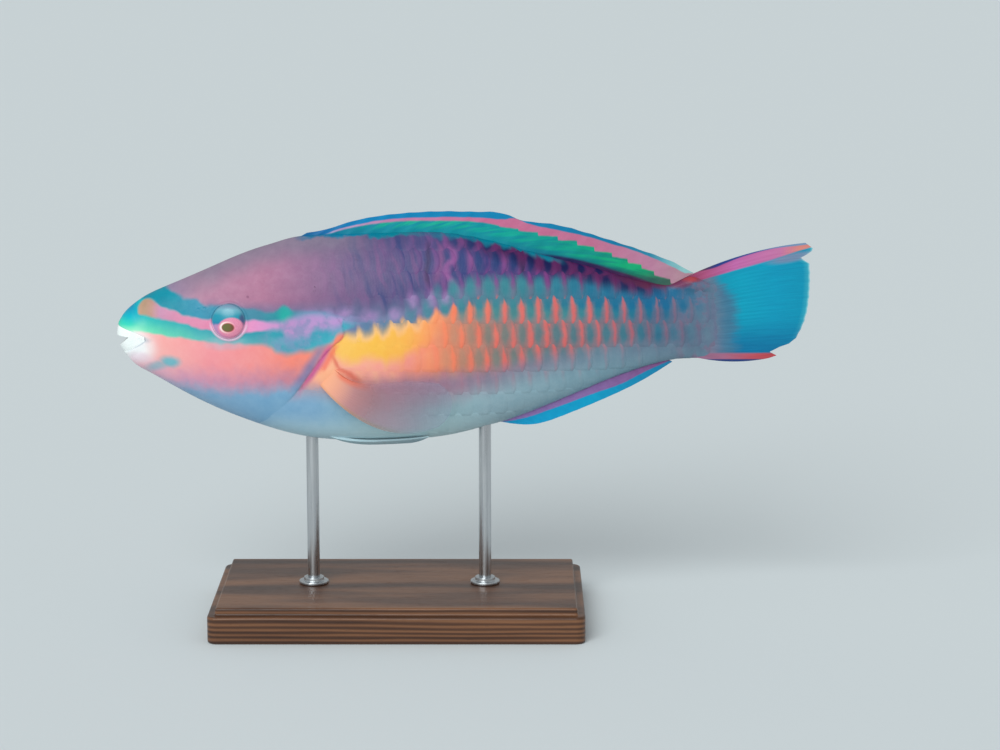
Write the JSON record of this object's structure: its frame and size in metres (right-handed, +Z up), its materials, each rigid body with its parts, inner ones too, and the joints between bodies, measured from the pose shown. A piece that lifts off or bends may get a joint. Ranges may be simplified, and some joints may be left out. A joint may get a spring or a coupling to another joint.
{
  "type": "parrotfish model",
  "caption": "Life-size still model of an adult male princess parrotfish, swimming, fins spread, on a plain wooden stand with steel rods.",
  "frame": {"origin": "centre of the display stand's flat underside", "axes": "+X from the snout towards the tail, +Y towards the fish's right flank, +Z up; the fish's left flank faces -Y"},
  "size_m": [0.28, 0.084, 0.1675],
  "materials": {
    "skin": "satin fish skin with overlapping scales, violet back, salmon and teal flank",
    "cheek": "smooth satin head skin, salmon with teal stripes",
    "fin_blue": "ribbed fin, bright blue, satin",
    "fin_pink": "ribbed fin, green, pink and blue bands, satin",
    "fin_pale": "thin ribbed fin, pale mauve, satin",
    "eye": "polished clear-coated eye, pink iris",
    "beak": "white enamel tooth plates, glossy",
    "walnut": "oiled walnut, satin",
    "steel": "brushed"
  },
  "bodies": {
    "root": {"head": "cheek", "gill_cover_left": "cheek", "gill_cover_right": "cheek", "trunk": "skin", "tail_stalk": "skin", "dorsal_fin": "fin_pink", "anal_fin": "fin_blue", "tail_fin": "fin_blue", "pectoral_fin_left": "fin_pale", "pectoral_fin_right": "fin_pale", "pelvic_fin_left": "fin_pale", "pelvic_fin_right": "fin_pale", "eye_left": "eye", "eye_right": "eye", "beak_upper": "beak", "beak_lower": "beak", "stand_base": "walnut", "stand_rod_front": "steel", "stand_rod_rear": "steel", "stand_collar_front": "steel", "stand_collar_rear": "steel"}
  },
  "joints": []
}
